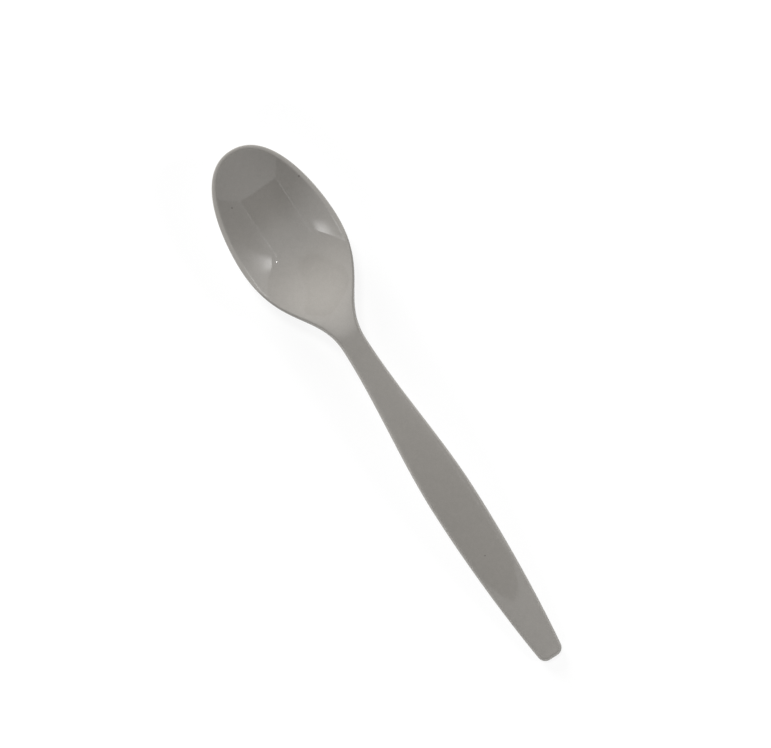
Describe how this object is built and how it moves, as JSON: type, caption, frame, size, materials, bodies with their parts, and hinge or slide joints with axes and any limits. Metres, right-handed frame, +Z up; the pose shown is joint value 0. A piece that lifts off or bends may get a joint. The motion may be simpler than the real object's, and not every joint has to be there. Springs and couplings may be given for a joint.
{
  "type": "soup spoon",
  "caption": "One-piece moulded plastic spoon with an oval bowl, a narrow neck and a long leaf-shaped handle with a square end, for eating soup and other soft food.",
  "frame": {"origin": "on the table plane, under the middle of the spoon's overall length and width", "axes": "+X along the spoon from the tip of the bowl to the end of the handle, +Y across it, +Z up out of the open bowl"},
  "size_m": [0.165, 0.0306, 0.0101],
  "materials": {
    "grey_plastic": "gloss"
  },
  "bodies": {
    "root": {"spoon": "grey_plastic"}
  },
  "joints": []
}
